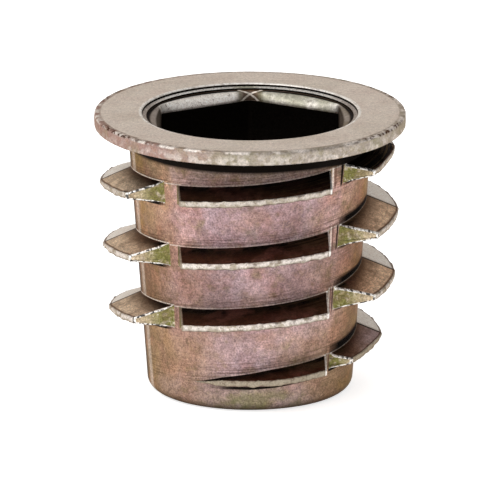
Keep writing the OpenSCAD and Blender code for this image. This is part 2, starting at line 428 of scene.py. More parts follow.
def outer_band(bm, sizes, masks):
    """The threaded wall: a grid with a row for each point of a section, wound along the helix."""
    columns = ridge_columns()
    count = len(columns)
    first_ridge, ridge_count = -4, 21
    direction_rounds = 4
    sections = {}
    for vert, column, row in grid(bm, count * ridge_count, len(ridge_section(sizes, 0)[0])):
        ridge, place = column // count + first_ridge, column % count
        share, inset, level, gap = columns[place]
        mid = front_direction(sizes) + TURN * ridge / 4
        width, before_width = sizes.front_ridge_w, sizes.side_ridge_w
        if ridge % 2:
            width, before_width = before_width, width
        if column not in sections:
            z = crest_height(sizes, mid)
            beside = share * half_width(sizes, width, z) + inset
            section, full, growth = ridge_section(
                sizes, mid + math.asin(beside / crest_radius(sizes, z)), level == "flat")
            if level in ("shoulder", "face"):
                section = shrunk(section, END_ROUND if level == "shoulder" else 2 * END_ROUND)
            sections[column] = section, full, growth
        section, full, growth = sections[column]
        out, rise, row_place = section[row]
        raised = out > 0
        if level == "flat":
            out = 0
        direction = mid
        for _ in range(direction_rounds):
            z = crest_height(sizes, direction) + rise
            radius = barrel_radius(sizes, z) + out
            direction = mid + turn_to(half_width(sizes, width, z), share, inset, radius)
            if gap:
                beside = half_width(sizes, before_width, z)
                start = mid - TURN / 4 + turn_to(beside, 1, END_ROUND, radius)
                direction += (start - direction) * gap
        z = crest_height(sizes, direction) + rise
        radius = barrel_radius(sizes, z) + out
        vert.co = polar(radius, direction, z)
        on_ridge = level == "full" and raised
        on_end = raised and abs(share) == 1 and not gap and place not in (COLUMNS_IN_GAP, count - 1)
        apart = abs(row_place - CREST_MIDDLE)
        mark(vert, masks,
             crest=on_ridge and apart < CREST_REACH,
             flank=on_ridge and CREST_MIDDLE + CREST_REACH < row_place < UPPER_ROOT,
             end_face=on_end and level != "full",
             edge=on_end and level in ("shoulder", "full"),
             way=direction * radius, rise=rise, place=row_place or SEAM_PLACE, apart=apart,
             gap=gap, grown=growth, deep=max(0, 1 - out / full))
    bmesh.ops.remove_doubles(bm, verts=bm.verts, dist=WELD)


def cut_level(bm, z, keep_above):
    """Cuts an open band at a height and drops what is beyond it."""
    bmesh.ops.bisect_plane(
        bm, geom=bm.verts[:] + bm.edges[:] + bm.faces[:], dist=CUT_SNAP, plane_co=(0, 0, z),
        plane_no=(0, 0, -1 if keep_above else 1), clear_outer=True)


def rim_edges(bm, z):
    """Open edges of a mesh at a height."""
    return [edge for edge in bm.edges
            if edge.is_boundary and all(abs(vert.co.z - z) < LEVEL_SNAP for vert in edge.verts)]


def follow(bm, rim, outline, masks, marks):
    """Extrudes a round rim along an outline of radii and heights, and marks what it makes."""
    for radius, z in outline:
        made = bmesh.ops.extrude_edge_only(bm, edges=rim)["geom"]
        rim = [item for item in made if isinstance(item, bmesh.types.BMEdge)]
        for vert in {v for edge in rim for v in edge.verts}:
            flat = Vector((vert.co.x, vert.co.y)).normalized() * radius
            vert.co = flat.x, flat.y, z
            mark(vert, masks, **{name: marks.get(name, 0) for name in MASKS})


def from_flat(direction):
    """Turn from a direction to the middle of the hexagon's nearest flat."""
    return abs((direction + TURN / 12) % (TURN / 6) - TURN / 12)


def hexagon_corner(sizes):
    """Radius of the hexagon at its sharp corners."""
    return sizes.hex_af / 2 / math.cos(TURN / 12)


def hexagon_radius(sizes, direction):
    """Radius of the hexagon's wall in a direction, with a rounded corner on +Y, on -Y and between."""
    fillet = sizes.hex_corner_fillet
    beside = from_flat(direction)
    from_corner = TURN / 12 - beside
    centre = (sizes.hex_af / 2 - fillet) / math.cos(TURN / 12)
    tangent = math.atan2(fillet / 2, centre + fillet * math.cos(TURN / 12))
    if from_corner < tangent:
        return centre * math.cos(from_corner) + math.sqrt(
            fillet ** 2 - (centre * math.sin(from_corner)) ** 2)
    return sizes.hex_af / 2 / math.cos(beside)


def bore_top(sizes):
    """Height at which the hexagon's cone meets the bore."""
    cone_h = (hexagon_corner(sizes) - sizes.bore_d / 2) / math.tan(sizes.floor_angle)
    return sizes.overall_h - sizes.hex_depth - cone_h


def rim_pit(spot):
    """Depth of the pitting at a spot on the flange's rim."""
    depth, coarse, fine = 0.022 * MM, 0.2 * MM, 0.1 * MM
    return depth * (1 + (noise.noise(spot / coarse) + 0.5 * noise.noise(spot / fine)))


def flange_and_socket(bm, sizes, masks):
    """Flange, mouth, hexagon and the cone down to the bore: an outline spun about the axis."""
    top, under = sizes.overall_h, barrel_h(sizes)
    mouth, throat, flange = sizes.mouth_d / 2, sizes.throat_d / 2, sizes.flange_d / 2
    mouth_draft, recess_slope, seat = 0.03 * MM, 0.04 * MM, 0.05 * MM
    rim_r, recess_r, throat_r = sizes.flange_edge_r, 0.02 * MM, 0.03 * MM
    lead_steps, lead_places = 8, 0.9
    floor_z = top - sizes.hex_depth
    rim_shares = [i / 6 for i in range(1, 6)]
    top_shares = (0.02, 0.1, 0.3, 0.5, 0.7, 0.9, 0.95, 0.98)
    corners = [
        Vector((sizes.barrel_top_d / 2 + 3 * sizes.neck_fillet_r, under)),
        Vector((flange, under)),
        Vector((flange, top)),
        Vector((mouth, top)),
        Vector((mouth - mouth_draft, top - sizes.recess_depth)),
        Vector((throat, top - sizes.recess_depth - recess_slope)),
        Vector((throat, top - sizes.lead_in_start)),
    ]
    radii = (0, rim_r, rim_r, sizes.mouth_edge_r, recess_r, throat_r, 0)
    shares = ((0.5, 0.95), rim_shares, top_shares, (0.5,), (0.1, 0.9), (0.5,))
    points, places = rounded(corners, radii, shares)
    outline = [(point.x, point.y, 0, place) for point, place in zip(points, places)]
    for i in range(1, lead_steps + 1):
        way = TURN / 4 * i / lead_steps
        drop = (sizes.lead_in_end - sizes.lead_in_start) * (1 - math.cos(way))
        place = LEAD_IN + lead_places * i / lead_steps
        outline.append((throat, top - sizes.lead_in_start - drop, math.sin(way), place))
    outline += [(throat, top - sizes.lead_in_end - seat, 1, HEXAGON), (throat, floor_z, 1, FLOOR)]
    outline.append((sizes.bore_d / 2 + SEAM, bore_top(sizes), 0, BORE))
    strip = polyline(bm, [(radius, 0, z) for radius, z, _, _ in outline])
    bmesh.ops.spin(
        bm, geom=strip, cent=(0, 0, 0), axis=(0, 0, 1), angle=TURN, steps=RING_STEPS, use_merge=True)
    for vert in bm.verts:
        direction = math.atan2(vert.co.y, vert.co.x)
        radius, z, hexness, place = outline[vert[bm.verts.layers.int["row"]]]
        hexagon = hexagon_radius(sizes, direction)
        radius += (hexagon - radius) * hexness
        if place == FLOOR:
            z -= (hexagon_corner(sizes) - hexagon) / math.tan(sizes.floor_angle)
        if RIM_START < place < RIM_END:
            radius -= rim_pit(Vector(polar(flange, direction, z)))
        vert.co = polar(radius, direction, z)
        mark(vert, masks, **{name: 1 for name, first, last in ZONES if first <= place < last})
        mark(vert, masks,
             low=max(0, place - LEAD_IN) if place < HEXAGON else 0,
             corner=max(0, 1 - (TURN / 12 - from_flat(direction)) / CORNER_REACH))


def bore_thread(bm, sizes, masks):
    """Fine thread in the bore: one pitch's section spun along its helix, faded at both ends."""
    low, high = sizes.bore_chamfer + SEAM, bore_top(sizes)
    pitch = sizes.bore_pitch
    crest, root = sizes.bore_d / 2, sizes.bore_thread_d / 2
    # Share of the pitch and share of the depth, along a crest, a flank, a root and a flank
    stops = ((0, 0), (0.25, 0), (0.28, 0.04), (0.54, 0.96), (0.58, 1), (0.67, 1), (0.71, 0.96),
             (0.97, 0.04), (1, 0))
    turns = math.ceil((high - low) / pitch) + 2
    strip = polyline(bm, [(crest, 0, low + pitch * (rise - 1)) for rise, _ in stops])
    bmesh.ops.spin(
        bm, geom=strip, cent=(0, 0, 0), axis=(0, 0, 1), dvec=(0, 0, pitch / BORE_STEPS),
        angle=TURN * turns, steps=BORE_STEPS * turns, use_merge=False)
    for vert in bm.verts:
        fade = max(0, min(1, (vert.co.z - low) / pitch, (high - vert.co.z) / pitch))
        depth = stops[vert[bm.verts.layers.int["row"]]][1] * fade
        radius = crest + (root - crest) * depth
        vert.co = vert.co.x * radius / crest, vert.co.y * radius / crest, vert.co.z
        # the bore is painted black as shade through the socket mask
        mark(vert, masks, socket=1)
    bmesh.ops.remove_doubles(bm, verts=bm.verts, dist=WELD)
    cut_level(bm, low, True)
    cut_level(bm, high, False)
    chamfer = [(crest, sizes.bore_chamfer), (crest + sizes.bore_chamfer, 0)]
    follow(bm, rim_edges(bm, low), chamfer, masks, {})


def threaded_wall(bm, sizes, masks):
    """The outer band between the flange and the end face, with its neck and its rounded foot."""
    neck_z = barrel_h(sizes) - sizes.neck_fillet_r
    outer_band(bm, sizes, masks)
    cut_level(bm, sizes.end_edge_r, True)
    cut_level(bm, neck_z, False)
    end_r, neck_r = barrel_radius(sizes, sizes.end_edge_r), barrel_radius(sizes, neck_z)
    edge, fillet = sizes.end_edge_r, sizes.neck_fillet_r
    steps = 2 * ARC_STEPS
    ways = [TURN / 4 * i / steps for i in range(1, steps + 1)]
    bends = [(1 - math.cos(way), math.sin(way)) for way in ways]
    foot = [(end_r - edge * inward, edge - edge * down) for inward, down in bends]
    foot.append((end_r - edge - SEAM, 0))
    on_foot = {"place": SEAM_PLACE, "apart": SEAM_PLACE - CREST_MIDDLE}
    follow(bm, rim_edges(bm, sizes.end_edge_r), foot, masks, on_foot)
    neck = [(neck_r + fillet * outward, neck_z + fillet * up) for outward, up in bends]
    neck.append((neck_r + 2 * fillet, barrel_h(sizes)))
    # the neck fillet is marked for painted shade in black
    follow(bm, rim_edges(bm, neck_z), neck, masks, {"crease": 1})


def casting_mesh(sizes):
    """One closed mesh of the casting, with its mask layers."""
    bm = bmesh.new()
    for build in (threaded_wall, flange_and_socket, bore_thread):
        part = bmesh.new()
        part.verts.layers.int.new("row")
        for name in MASKS:
            part.verts.layers.float.new(name)
        build(part, sizes, {name: part.verts.layers.float[name] for name in MASKS})
        mesh = bpy.data.meshes.new("part")
        part.to_mesh(mesh)
        part.free()
        bm.from_mesh(mesh)
        bpy.data.meshes.remove(mesh)
    for z in (0, bore_top(sizes), barrel_h(sizes)):
        bmesh.ops.triangle_fill(bm, edges=rim_edges(bm, z), use_beauty=True, normal=(0, 0, 1))
    bmesh.ops.recalc_face_normals(bm, faces=bm.faces)
    masks = {name: bm.verts.layers.float[name] for name in ("side", "sway", "facing")}
    for vert in bm.verts:
        direction = math.atan2(vert.co.y, vert.co.x) - front_direction(sizes)
        sway = math.sin(direction)
        facing = math.cos(direction) * math.hypot(vert.co.x, vert.co.y)
        mark(vert, masks, side=abs(sway), sway=sway, facing=facing)
    return bm


# ---------------------------------------------------------------- finish

NODE_GAP_X, NODE_GAP_Y, NODES_IN_ROW = 220, 320, 12
DRAG_GAP = 0.09 * MM        # between the drag lines that the mould leaves along the thread
DRAG_LENGTH = 3 * MM        # of one drag line

# Patterns of the finish: real size of the grain in millimetres, detail, roughness
PATTERNS = {
    "grain": (0.1, 3, 0.65),        # grain of the cast skin, coarsened so that it shows
    "lumps": (0.25, 2, 0.6),        # lumps of the cast skin
    "pits": (0.2, 2, 0.7),          # its pits
    "blots": (0.5, 2, 0.6),         # small blots of thicker film
    "fleck": (0.8, 3, 0.6),         # clouds in the film, from small to large
    "cloud": (1.6, 3, 0.6),
    "drift": (3.5, 2, 0.5),
    "warmth": (1.4, 2, 0.6),        # patches of one tint in the film
    "coolness": (1.8, 2, 0.5),
    "gilt": (2.2, 2, 0.6),
    "blush": (2.8, 2, 0.5),
    "fine_tone": (0.45, 2, 0.6),    # lighter and darker film
    "broad_tone": (2.4, 3, 0.55),
    "rubs": (0.5, 2, 0.5),          # plating left on the crests
    "specks": (0.3, 2, 0.6),        # dark specks on the crests and round the mouth
    "beads": (0.18, 1, 0.5),        # beads along the end faces
    # knobs also place the rim's painted glints
    "knobs": (0.45, 2, 0.5),        # bare knobs on the rim
    "nicks": (0.28, 2, 0.7),        # nicks along the rim's upper edge
    "bare": (0.6, 2, 0.5),          # bare stretches of that edge
    "haze": (1.1, 3, 0.6),          # faint clouds on the flange's top
}


class Nodes:
    """Nodes of a material or a world, and the steps by which they are put together."""

    def __init__(self, owner, colours=None):
        owner.use_nodes = True
        self.tree = owner.node_tree
        self.tree.nodes.clear()
        self.colours = colours

    def add(self, kind, inputs=(), **settings):
        """Adds a node with its settings, and gives its inputs values or links, by order or by name.

        A node that is given as an input is linked by its first output."""
        row, column = divmod(len(self.tree.nodes), NODES_IN_ROW)
        node = self.tree.nodes.new("ShaderNode" + kind)
        node.location = (NODE_GAP_X * column, -NODE_GAP_Y * row)
        for name, value in settings.items():
            setattr(node, name, value)
        for key, value in inputs.items() if isinstance(inputs, dict) else enumerate(inputs):
            if isinstance(value, bpy.types.Node):
                value = value.outputs[0]
            if isinstance(value, bpy.types.NodeSocket):
                self.tree.links.new(value, node.inputs[key])
            else:
                node.inputs[key].default_value = value
        return node

    def combined(self, operation, *parts):
        """Parts put together by an operation, one after another.

        A part in brackets is a value with two limits, which become 0 and 1 or the two numbers after
        them. It is held between those."""
        values = [self.add("MapRange", part) if isinstance(part, tuple) else part for part in parts]
        result = values[0]
        for value in values[1:]:
            result = self.add("Math", (result, value), operation=operation)
        return result

    def amount(self, *parts):
        """Product of parts."""
        return self.combined("MULTIPLY", *parts)

    def line(self, value, low, high, soft):
        """1 between two limits and 0 outside them, with soft ends."""
        return self.amount((value, low - soft, low), (value, high, high + soft, 1, 0))

    def layered(self, under, *layers, blend="MIX"):
        """Lays tints over a tint, one after another. A layer is a tint and the parts of its amount.

        A tint is a colour's name, a colour or a node's output."""
        for over, *parts in layers:
            tints = [getattr(self.colours, tint) if isinstance(tint, str) else tint
                     for tint in (under, over)]
            mix = self.add("Mix", {0: self.amount(*parts), 6: tints[0], 7: tints[1]},
                           data_type="RGBA", blend_type=blend)
            under = mix.outputs[2]
        return under


class Finish(Nodes):
    """Nodes of the casting's finish, with its masks and patterns by name."""

    def __init__(self, owner, colours):
        super().__init__(owner, colours)
        spot = self.add("TexCoord").outputs["Object"]
        axes = self.add("SeparateXYZ", (spot,)).outputs
        self.rearward, self.height = axes["Y"], axes["Z"]
        for name in MASKS:
            setattr(self, name, self.add("Attribute", attribute_name=name).outputs["Fac"])
        for name, (size_mm, detail, roughness) in PATTERNS.items():
            setattr(self, name, self.add("TexNoise", {
                "Vector": spot, "Scale": 1 / (size_mm * MM), "Detail": detail, "Roughness": roughness}))
        sweep = self.add("CombineXYZ", (self.amount(self.way, DRAG_GAP / DRAG_LENGTH), self.rise))
        drag = self.add("TexNoise", {"Vector": sweep, "Scale": 1 / DRAG_GAP, "Detail": 2, "Roughness": 0.6})
        self.lines = self.amount((drag, 0.46, 0.6))
        # The drag lines are deeper on the barrel just above a ridge
        above_root = (self.place, UPPER_ROOT, UPPER_ROOT + 0.02)
        self.streaks = self.amount(self.lines, (self.apart, 1.7, 2.35, 1, 0), above_root)


def wall_tint(kit):
    """Film on the barrel: mauve in front and behind, then peach, ochre and umber towards the sides, in
    clouds. The tint's shift round the barrel is a painted stand-in for the film's iridescence, and its
    umber at the sides is painted shade.
    """
    way_round = kit.combined("ADD", kit.side, (kit.drift, 0.3, 0.7, -0.14, 0.14))
    tone = kit.amount((kit.broad_tone, 0.35, 0.65, 0.87, 1.16), (kit.fine_tone, 0.3, 0.7, 0.86, 1.14))
    paint = kit.layered(
        "mauve",
        # painted sheen and shade: the tint follows the direction round the barrel in place of the film's
        # iridescence, darkening to umber at the sides
        ("peach", (way_round, 0.3, 0.68)),
        ("ochre", (way_round, 0.68, 0.9)),
        ("umber", (way_round, 0.9, 1)),
        ("sand", (kit.drift, 0.45, 0.6, 0, 0.7)),
        ("rose", (kit.cloud, 0.46, 0.66, 0, 0.5)),
        ("olive", (kit.fleck, 0.55, 0.72, 0, 0.5)),
        ("gold", (kit.gilt, 0.5, 0.64), (kit.side, 0.7, 0.85), 0.7),
        ("salmon", (kit.warmth, 0.52, 0.64), (kit.side, 0.5, 0.8), 0.5),
        ("lilac", (kit.coolness, 0.48, 0.6), (kit.side, 0.7, 0.4), 0.5),
        ("rose", (kit.blush, 0.5, 0.62, 0, 0.2)),
        ("umber", kit.lines, 0.15),
        ("umber", (kit.blots, 0.52, 0.72, 0, 0.4)))
    return kit.layered(
        kit.layered(paint, (tone, 1), blend="MULTIPLY"),
        ("brown", (kit.pits, 0.6, 0.68, 0, 0.45)),
        ("brown", kit.streaks, 0.5),
        ("brown", kit.lines, (kit.sway, 0.45, 0.7, 0, 0.28)))


def height_layers(kit):
    """Darker film round the middle; greener and darker towards the flange and towards the lower end, with a
    painted shadow in black along the bottom edge.
    """
    girdle = kit.line(kit.height, 6.6 * MM, 8.8 * MM, 1.2 * MM)
    low_front = kit.amount((kit.height, 2 * MM, 0.9 * MM), (kit.side, 0.6, 0.2))
    return (
        ("brown", girdle, (kit.side, 0.1, 0.6, 0.06, 0.34)),
        ("moss", (kit.height, 12.8 * MM, 14.2 * MM, 0, 0.6)),
        ("umber", (kit.height, 10 * MM, 2 * MM), (kit.side, 0.1, 0.6), 0.5),
        ("olive", low_front, (kit.cloud, 0.38, 0.6, 0.15, 0.7)),
        ("moss", (kit.height, 1.8 * MM, 0.9 * MM, 0, 0.2)),
        # painted shade: black along the rounded lower edge
        ("black", (kit.height, 0.6 * MM, 0.1 * MM, 0, 0.8)))


def left_outline_light_layers(kit):
    """Lines down the parting plane where it forms the barrel's left outline: a painted shade in black, and
    a painted highlight in tan before it.
    """
    on_left = kit.amount((kit.place, 0, 0.01), (kit.sway, 0, -0.5))
    return (
        ("black", kit.line(kit.facing, 0.1 * MM, 0.7 * MM, 0.3 * MM), on_left, 0.75),
        ("tan", kit.line(kit.facing, 1.35 * MM, 1.7 * MM, 0.2 * MM), on_left, 0.4))


def root_layers(kit):
    """Lines along the roots of the ridges, and across the corner gaps beside their ends; the black ones are
    painted shade.
    """
    near_ridge = kit.amount((kit.apart, 2.3, 2.15))
    shown = kit.amount(near_ridge, (kit.grown, 0.1, 0.5))
    outside_gap = kit.amount((kit.gap, 0, 0.02, 1, 0))
    first_turn = kit.amount((kit.height, 3.4 * MM, 3 * MM))
    low_part = kit.combined("MAXIMUM", first_turn, (kit.side, 0.72, 0.8))
    first_part = kit.amount(near_ridge, first_turn, (kit.grown, 0.3, 0.7), (kit.side, 0.66, 0.6))
    beside_ridge = kit.amount(shown, (kit.apart, 1.7, 1.6), (kit.sway, 0.5, 0.74))
    return (
        ("tan", kit.line(kit.place, 4.03, 4.12, 0.02), shown, (kit.side, 0.6, 0.8, 0.25, 0.9)),
        # painted shade: a dark strip above the roots of the right side ridges
        ("black", kit.line(kit.place, 4.13, 4.36, 0.2), shown, (kit.sway, 0.64, 0.8), outside_gap),
        # painted shade: a dark line under the ridges at the sides and on the first turn
        ("black", kit.line(kit.place, 0.82, 0.98, 0.03), shown, low_part, outside_gap),
        # painted shade: a dark line under the first ridge in front, as it rises out of the barrel
        ("black", kit.line(kit.place, 0.79, 0.98, 0.04), first_part, outside_gap),
        # painted shade: a dark line across the corner gap by a ridge's end face, on the right
        ("black", kit.line(kit.gap, 0.06, 0.2, 0.04), beside_ridge),
        ("tan", kit.line(kit.gap, 0.84, 0.95, 0.02), beside_ridge),
        ("brown", kit.line(kit.gap, 0.62, 0.74, 0.04), beside_ridge, 0.8))


def neck_shadow_layer(kit):
    """Painted shadow in black on the barrel under the flange, which comes lower down at the right."""
    far_right = kit.amount(kit.combined("POWER", kit.side, 4), (kit.sway, -0.2, 0.2), 0.55 * MM)
    shadow_end = kit.combined("ADD", kit.height, far_right)
    return "black", (shadow_end, 14.12 * MM, 14.32 * MM), (kit.place, 0, 0.01)


def front_flank_tint(kit):
    """Upper flanks in front and behind: brown by the crest and nearly black by the root, where the black is
    painted shade.
    """
    return kit.layered(
        "brown",
        # painted shade: black towards the root
        ("black", (kit.deep, 0.3, 0.8)),
        ("rose", (kit.cloud, 0.5, 0.66, 0, 0.3)),
        ("moss", (kit.fleck, 0.4, 0.6, 0, 0.14)),
        ("umber", kit.lines, (kit.sway, 0.1, 0.5, 0, 0.4)))


def side_flank_tint(kit):
    """Upper flanks at the sides: buff at the left, bronze at the right, darker on the lowest one, with
    painted shade in brown towards the right ridges' front ends and by the roots.
    """
    at_right = kit.amount((kit.sway, 0.2, 0.6))
    lowest = kit.amount(at_right, (kit.height, 4 * MM, 3.2 * MM))
    return kit.layered(
        "buff",
        ("bronze", (kit.sway, -0.2, 0.2)),
        ("rose", lowest, 0.35),
        ("lilac", lowest, (kit.side, 0.85, 0.98, 0.2, 0.7)),
        ("brown", lowest, (kit.side, 0.98, 0.85, 0.1, 0.55)),
        # painted shade: browner towards the front ends of the right ridges
        ("brown", at_right, (kit.side, 0.93, 0.8, 0, 0.25)),
        ("brown", (kit.fleck, 0.48, 0.65, 0, 0.4)),
        # painted shade: brown towards the root
        ("brown", (kit.deep, 0.4, 0.95, 0, 0.85)))


def flank_tint(kit):
    """Upper flanks, lighter at the sides than in front as a painted reflection, black under the flange as
    painted shade, with the parting line on them: painted highlight behind it and on its edge, painted shade
    in black in front of it.
    """
    way_round = kit.combined("ADD", kit.side, kit.amount(kit.deep, -0.36))
    shade_under_flange = kit.layered("black", ("umber", kit.lines, (kit.deep, 0.9, 0.2)))
    return kit.layered(
        front_flank_tint(kit),
        # painted reflection: the lighter side tint towards the sides, the dark front tint in front
        (side_flank_tint(kit), (way_round, 0.46, 0.7)),
        ("black", kit.lines, 0.15),
        # painted shade: black under the flange
        (shade_under_flange, (kit.height, 13.3 * MM, 13.8 * MM)),
        # painted highlight: pale behind the parting step
        ("pearl", (kit.facing, 0.02 * MM, -0.02 * MM), (kit.side, 0.6, 0.7), 0.95),
        # painted highlight: cream on the parting step's edge
        ("cream", kit.line(kit.facing, -0.3 * MM, -0.04 * MM, 0.04 * MM)),
        # painted shade: black in front of the parting step
        ("black", kit.line(kit.facing, 0, 0.2 * MM, 0.06 * MM)),
        ("brown", kit.line(kit.place, 3.1, 3.15, 0.03), 0.8))


def crest_tint(kit):
    """Crests: rubbed bare, with some plating kept at the lower end, and darker along their lower edge as
    painted shade.
    """
    kept = kit.combined(
        "MAXIMUM", (kit.lumps, 0.5, 0.62, 0, 0.6), (kit.height, 3.4 * MM, 2.8 * MM, 0, 0.9))
    return kit.layered(
        "cream",
        ("worn", kept),
        ("worn", (kit.height, 10.5 * MM, 12 * MM, 0, 0.3)),
        ("worn", (kit.rubs, 0.52, 0.64, 0, 0.6)),
        ("brown", (kit.specks, 0.56, 0.66, 0, 0.5)),
        # painted shade: darker along the crest's lower edge
        ("worn", (kit.place, 2.4, 2.1, 0, 0.6)),
        ("brown", (kit.place, 2.1, 1.95, 0, 0.6)))


def end_face_tint(kit):
    """End faces of the ridges: green, and mottled."""
    return kit.layered(
        "green",
        ("buff", (kit.deep, 0.7, 0.2, 0, 0.65)),
        ("tan", (kit.lumps, 0.54, 0.68, 0, 0.45)),
        ("umber", (kit.blots, 0.48, 0.62, 0, 0.55)))


def bead_tint(kit):
    """Edges of the end faces: rubbed pale and lit with a painted highlight, beaded with black on the side
    ridges, umber at the front's left as painted shade.
    """
    return kit.layered(
        # rubbed metal with a painted highlight: the pale edges
        "pearl",
        ("black", (kit.beads, 0.5, 0.55), (kit.side, 0.7, 0.78), 0.9),
        # painted shade: umber on the front ridges' left end edges
        ("umber", (kit.side, 0.71, 0.69), (kit.sway, -0.3, -0.4), 0.8))


def rim_tint(kit):
    """Rim of the flange: grey and lumpy, rosy at the left, with bare knobs painted brightest on the lit
    left as glints.
    """
    low_down = (kit.height, 15.8 * MM, 15.5 * MM, 0.15, 0.6)
    return kit.layered(
        "grey",
        ("worn", (kit.lumps, 0.5, 0.6, 0, 0.7)),
        ("rose", (kit.sway, -0.1, -0.6, 0, 0.5)),
        ("olive", (kit.cloud, 0.5, 0.65, 0, 0.35)),
        # bare metal with painted highlight: cream glints on the knobs, strongest at the left and low on the
        # rim
        ("cream", (kit.knobs, 0.45, 0.58), low_down, (kit.sway, -0.9, -0.3, 0.4, 1)))


def brow_layers(kit):
    """Upper edge of the rim: bare and painted with a highlight in places, with dark nicks."""
    away_from_ends = kit.amount((kit.side, 0.5, 0.85, 0.15, 1), (kit.side, 0.985, 0.95))
    return (
        # bare metal with a painted highlight in cream
        ("cream", (kit.bare, 0.42, 0.55)),
        ("brown", (kit.nicks, 0.5, 0.58), away_from_ends))


def top_tint(kit):
    """Top of the flange: nearly even, with faint clouds and a few specks."""
    return kit.layered(
        "tan",
        ("rose", (kit.cloud, 0.42, 0.66, 0, 0.14)),
        ("olive", (kit.drift, 0.45, 0.62, 0, 0.1)),
        ("cream", (kit.haze, 0.5, 0.64, 0, 0.35)),
        ("brown", (kit.pits, 0.6, 0.68, 0, 0.2)))


def lip_tint(kit):
    """Edge of the mouth: polished and painted pale as a highlight, with a few dark specks."""
    return kit.layered("pearl", ("brown", (kit.specks, 0.52, 0.6, 0, 0.3)))


def ledge_tint(kit):
    """Floor of the recess: pale, greener in front and behind, browner at the sides."""
    return kit.layered(
        "pearl",
        ("olive", (kit.side, 0.15, 0.05, 0, 0.6)),
        ("brown", (kit.side, 0.75, 0.95, 0, 0.6)))


def lead_in_tint(kit):
    """Lead-in: bright with painted highlights, greener to the right, dark at the sides, and with painted
    shade along its upper and lower edges.
    """
    at_side = kit.amount((kit.side, 0.87, 0.9))
    return kit.layered(
        "pearl",
        ("mauve", (kit.low, 0.4, 0.75, 0, 0.15)),
        # painted highlights on the lumps
        ("pearl", (kit.lumps, 0.48, 0.58, 0, 0.7)),
        ("umber", (kit.low, 0.5, 0.25), (kit.sway, 0.05, -0.05), 0.15),
        ("olive", (kit.sway, 0.05, 0.12), (kit.cloud, 0.4, 0.6, 0.2, 0.6)),
        ("brown", (kit.pits, 0.6, 0.68, 0, 0.6)),
        ("brown", at_side, 0.6),
        ("black", at_side, (kit.low, 0.36, 0.44, 0, 0.85)),
        # painted shadow along the upper edge, below the recess's floor
        ("black", (kit.low, 0.18, 0.1)),
        # painted shade along the lower edge
        ("brown", (kit.low, 0.78, 0.9, 0, 0.6)))


def cross_layers(kit):
    """Cross of two pale lines on a dark ground, in the lead-in's front and rear corners."""
    on_axis = kit.amount((kit.side, 0.5, 0.4))
    off_middle = kit.add("Math", (kit.combined("SUBTRACT", kit.low, 0.5),), operation="ABSOLUTE")
    crossing = kit.combined("ADD", kit.corner, kit.amount(off_middle, 1.4))
    return (
        ("moss", (kit.corner, 0, 0.3), on_axis, 0.8),
        ("brown", (kit.corner, 0.3, 0.6), on_axis, 0.7),
        ("tan", kit.line(crossing, 0.93, 1.07, 0.08), on_axis))


def yellow_chromated_zinc(colours):
    """Zinc alloy, die-cast, tumbled in the barrel, zinc-plated and yellow-chromated.

    The eye gets a satin metal whose thin chromate film changes its tint from mauve through peach and ochre
    to umber, painted round the barrel in place of its iridescence and with umber as painted shade at the
    sides; a fine grain; pale rubbed crests and rims that carry painted highlights; and recesses painted
    nearly black as shade."""
    material = bpy.data.materials.new("yellow_chromated_zinc_casting")
    kit = Finish(material, colours)
    rim = rim_tint(kit)
    off_front = kit.combined("MAXIMUM", (kit.side, 0.6, 0.85), (kit.rearward, 1 * MM, 2 * MM))
    paint = kit.layered(
        wall_tint(kit),
        *height_layers(kit),
        *left_outline_light_layers(kit),
        *root_layers(kit),
        neck_shadow_layer(kit),
        (flank_tint(kit), kit.flank),
        (end_face_tint(kit), kit.end_face),
        (crest_tint(kit), kit.crest),
        (bead_tint(kit), (kit.edge, 0.15, 0.4)),
        (top_tint(kit), kit.top),
        (rim, kit.rim),
        (kit.layered(rim, *brow_layers(kit)), kit.brow),
        # painted highlight on the mouth's edge, kept off the front
        (lip_tint(kit), kit.lip, off_front),
        # painted shade: black on the walls of the mouth's recess and throat
        ("black", kit.wall),
        (ledge_tint(kit), kit.ledge),
        (kit.layered(lead_in_tint(kit), *cross_layers(kit)), kit.bar),
        # painted shade: black in the hexagon, its floor and the bore
        ("black", kit.socket),
        # painted shade: black on the flange's underside and the neck fillet
        ("black", kit.crease))

    # The grain is strongest on the barrel, and weaker where the metal is rubbed or polished
    quiet = kit.combined(
        "MAXIMUM", kit.amount(kit.top, 0.5), kit.amount(kit.crest, 0.45), kit.amount(kit.rim, 0.4),
        kit.amount(kit.bar, 0.4), kit.amount((kit.facing, 0, -0.1 * MM), kit.flank, 0.5))
    speckle = kit.amount((kit.grain, 0.34, 0.66, 0.56, 1.4), (kit.lumps, 0.3, 0.7, 0.8, 1.2))
    speckle = kit.layered(speckle, (linear("#ffffff"), quiet))
    paint = kit.layered(paint, (speckle, 1), blend="MULTIPLY")
    relief = kit.combined("ADD", kit.grain, kit.amount(kit.streaks, 0.3))
    bump = kit.add("Bump", {"Height": relief, "Distance": 0.02 * MM, "Strength": 1})
    surface = kit.add("BsdfPrincipled", {
        "Base Color": paint, "Metallic": 0.8, "Roughness": kit.amount((kit.grain, 0.3, 0.7, 0.34, 0.55)),
        "Normal": bump, "Specular Tint": linear("#b0a090")})
    kit.add("OutputMaterial", (surface,))
    return material


